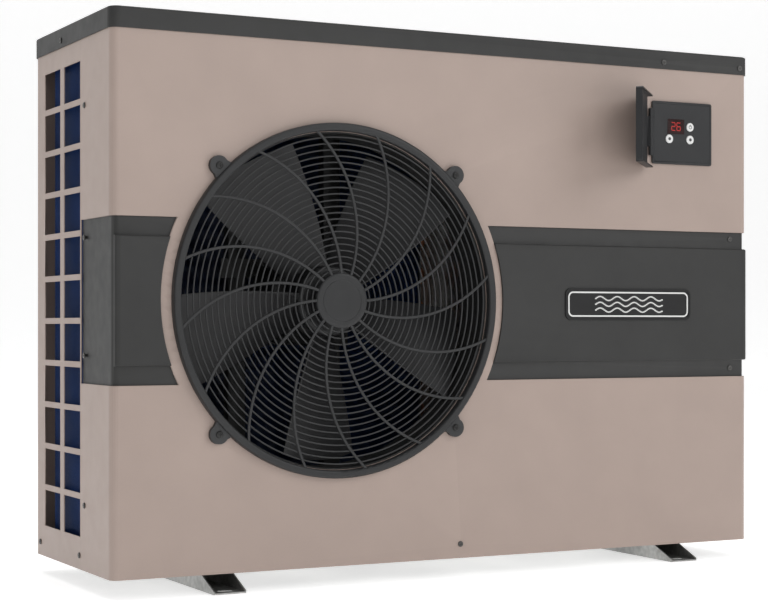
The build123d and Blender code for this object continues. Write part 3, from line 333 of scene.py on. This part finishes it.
def outlineRing(bm, centre, halfWidth, halfHeight, radius, width, front, depth):
    # a rounded frame: two corner loops bridged and given a wall
    loops = []
    for inset in (0.0, width):
        ring = bmesh.ops.create_circle(bm, cap_ends=False, radius=radius - inset, segments=48)["verts"]
        for vert in ring:
            x = vert.co.x + math.copysign(halfWidth - radius, vert.co.x)
            z = vert.co.y + math.copysign(halfHeight - radius, vert.co.y)
            vert.co = Vector((centre[0] + x, front, centre[1] + z))
        loops += [e for e in bm.edges if e.verts[0] in ring and e.verts[1] in ring]
    faces = bmesh.ops.bridge_loops(bm, edges=loops)["faces"]
    bmesh.ops.recalc_face_normals(bm, faces=faces)
    bmesh.ops.solidify(bm, geom=faces, thickness=depth)


badge = dict(inset=0.0045, radius=0.0085, line=0.0022, waves=3, waveLength=0.030, waveHeight=0.0030, waveGap=0.0085, waveSpan=0.120)
badgeLow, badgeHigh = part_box("badge_plate")
badgeMid = ((badgeLow[0] + badgeHigh[0]) / 2, (badgeLow[2] + badgeHigh[2]) / 2)


def makeBadge(look):
    bm = bmesh.new()
    front = badgeLow[1] + 0.0003
    outlineRing(bm, badgeMid, (badgeHigh[0] - badgeLow[0]) / 2 - look["inset"], (badgeHigh[2] - badgeLow[2]) / 2 - look["inset"],
                look["radius"], look["line"], front, 0.0005)
    steps = 48
    for row in range(look["waves"]):
        base = badgeMid[1] + (row - (look["waves"] - 1) / 2) * look["waveGap"]
        for i in range(steps):
            x0 = badgeMid[0] - look["waveSpan"] / 2 + look["waveSpan"] * i / steps
            x1 = x0 + look["waveSpan"] / steps * 1.15
            z = base + look["waveHeight"] * math.sin((x0 - badgeMid[0]) * math.tau / look["waveLength"])
            bar(bm, x0, x1, z - look["line"] * 0.42, z + look["line"] * 0.42, front, 0.0006)
    bmesh.ops.recalc_face_normals(bm, faces=bm.faces)
    return place(bm, "badge_lines", "cabinet", "badge_dark", "badge_line")


makeBadge(badge)

# seven-segment strokes that are lit for the digits 2 and 6
display = dict(height=0.0115, width=0.0064, stroke=0.0014, gap=0.0095, lit=((0, 1, 6, 4, 3), (0, 5, 6, 4, 3, 2)))
windowLow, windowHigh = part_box("display_window")


def makeDigits(look):
    bm = bmesh.new()
    mid = ((windowLow[0] + windowHigh[0]) / 2, (windowLow[2] + windowHigh[2]) / 2)
    front = windowLow[1] - 0.00012
    h, w, t = look["height"] / 2, look["width"] / 2, look["stroke"] / 2
    for column, lit in enumerate(look["lit"]):
        x = mid[0] + (column - 0.5) * look["gap"]
        z = mid[1]
        strokes = [(x - w, x + w, z + h - t, z + h + t), (x + w - t, x + w + t, z + t, z + h - t), (x + w - t, x + w + t, z - h + t, z - t),
                   (x - w, x + w, z - h - t, z - h + t), (x - w - t, x - w + t, z - h + t, z - t), (x - w - t, x - w + t, z + t, z + h - t),
                   (x - w, x + w, z - t, z + t)]
        for i in lit:
            bar(bm, *strokes[i], front, 0.0001)
    return place(bm, "display_digits", "cabinet", "display_dark", "digit_red")


makeDigits(display)

keyMark = dict(dot=0.0024, depth=0.00012)


def makeKeyMarks(look):
    for node in ("button_up", "button_down", "button_power"):
        low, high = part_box(node)
        x, z, front = (low[0] + high[0]) / 2, (low[2] + high[2]) / 2, low[1] - look["depth"]
        bm = bmesh.new()
        if node == "button_power":
            outlineRing(bm, (x, z), 0.0028, 0.0028, 0.0027, 0.0008, front, look["depth"])
            bar(bm, x - 0.0004, x + 0.0004, z + 0.0008, z + 0.0040, front, look["depth"])
        else:
            bmesh.ops.create_circle(bm, cap_ends=True, radius=look["dot"], segments=24,
                                    matrix=Matrix.Translation((x, front, z)) @ Matrix.Rotation(math.pi / 2, 4, "X"))
            bmesh.ops.solidify(bm, geom=list(bm.faces), thickness=look["depth"])
        bmesh.ops.recalc_face_normals(bm, faces=bm.faces)
        place(bm, node + "_mark", bodyOf[node], "key_white", "key_mark")


makeKeyMarks(keyMark)
print("badge, digits and key marks made")


# floor: one sheet that curves up far behind the object
stage = dict(halfWidth=30.0, nearEdge=-30.0, farEdge=9.0, curve=6.0, height=14.0, colour=(0.93, 0.93, 0.93, 1.0), rough=0.9)
bm = bmesh.new()
line = [bm.verts.new((-stage["halfWidth"], stage["nearEdge"], 0.0)), bm.verts.new((-stage["halfWidth"], stage["farEdge"], 0.0))]
bm.edges.new(line)
pivot = (-stage["halfWidth"], stage["farEdge"], stage["curve"])
rise = bmesh.ops.spin(bm, geom=[line[1]], cent=pivot, axis=(1, 0, 0), angle=math.pi / 2, steps=24)["geom_last"]
tip = bmesh.ops.extrude_vert_indiv(bm, verts=[v for v in rise if isinstance(v, bmesh.types.BMVert)])["verts"]
bmesh.ops.translate(bm, verts=tip, vec=(0, 0, stage["height"]))
sheet = bmesh.ops.extrude_edge_only(bm, edges=list(bm.edges))["geom"]
bmesh.ops.translate(bm, verts=[v for v in sheet if isinstance(v, bmesh.types.BMVert)], vec=(stage["halfWidth"] * 2, 0, 0))
bmesh.ops.recalc_face_normals(bm, faces=bm.faces)
mesh = bpy.data.meshes.new("studio_floor")
bm.to_mesh(mesh)
bm.free()
for face in mesh.polygons:
    face.use_smooth = True
floorFinish = bpy.data.materials.new("studio_floor")
floorFinish.use_nodes = True
floorShader = floorFinish.node_tree.nodes["Principled BSDF"]
floorShader.inputs["Base Color"].default_value = stage["colour"]
floorShader.inputs["Roughness"].default_value = stage["rough"]
floorShader.inputs["Specular IOR Level"].default_value = 0.0
floorShader.inputs["Emission Color"].default_value = (1.0, 1.0, 1.0, 1.0)
floorShader.inputs["Emission Strength"].default_value = 0.52
mesh.materials.append(floorFinish)
studioFloor = bpy.data.objects.new("studio_floor", mesh)
bpy.context.scene.collection.objects.link(studioFloor)


# lights
world = bpy.data.worlds.new("studio")
bpy.context.scene.world = world
world.use_nodes = True
worldNodes, worldLinks = world.node_tree.nodes, world.node_tree.links
worldLight = worldNodes["Background"]
worldLight.inputs["Color"].default_value = (1.0, 1.0, 1.0, 1.0)
worldLight.inputs["Strength"].default_value = 0.30
seen = worldNodes.new("ShaderNodeBackground")
seen.inputs["Color"].default_value = (1.0, 1.0, 1.0, 1.0)
seen.inputs["Strength"].default_value = 1.0
ray = worldNodes.new("ShaderNodeLightPath")
mixer = worldNodes.new("ShaderNodeMixShader")
worldLinks.new(ray.outputs["Is Camera Ray"], mixer.inputs["Fac"])
worldLinks.new(worldLight.outputs["Background"], mixer.inputs[1])
worldLinks.new(seen.outputs["Background"], mixer.inputs[2])
worldLinks.new(mixer.outputs["Shader"], worldNodes["World Output"].inputs["Surface"])

softLights = {
    "key_panel": dict(at=(2.6, -3.2, 2.6), aim=(0.0, 0.0, 0.4), size=(2.4, 2.4), watts=50.0),
    "front_panel_light": dict(at=(-0.6, -4.2, 1.6), aim=(0.0, 0.0, 0.4), size=(3.0, 2.0), watts=27.0),
    "top_panel_light": dict(at=(0.0, 0.4, 3.6), aim=(0.0, 0.0, 0.4), size=(3.0, 3.0), watts=60.0),
}
for name, light in softLights.items():
    data = bpy.data.lights.new(name, "AREA")
    data.shape = "RECTANGLE"
    data.size, data.size_y = light["size"]
    data.energy = light["watts"]
    lamp = bpy.data.objects.new(name, data)
    lamp.location = light["at"]
    lamp.rotation_euler = (Vector(light["aim"]) - Vector(light["at"])).to_track_quat("-Z", "Y").to_euler()
    bpy.context.scene.collection.objects.link(lamp)

# camera
view = dict(at=(-1.2931, -2.5060, 0.3565), turn=-28.0, lens=87.66, shift=(-0.0599, 0.0273))
cameraData = bpy.data.cameras.new("camera")
cameraData.lens = view["lens"]
cameraData.sensor_width = 36.0
cameraData.shift_x, cameraData.shift_y = view["shift"]
camera = bpy.data.objects.new("camera", cameraData)
camera.location = view["at"]
camera.rotation_euler = (math.radians(90), 0, math.radians(view["turn"]))
bpy.context.scene.collection.objects.link(camera)
bpy.context.scene.camera = camera
bpy.context.scene.view_settings.view_transform = "Standard"
print("stage, lights and camera set")
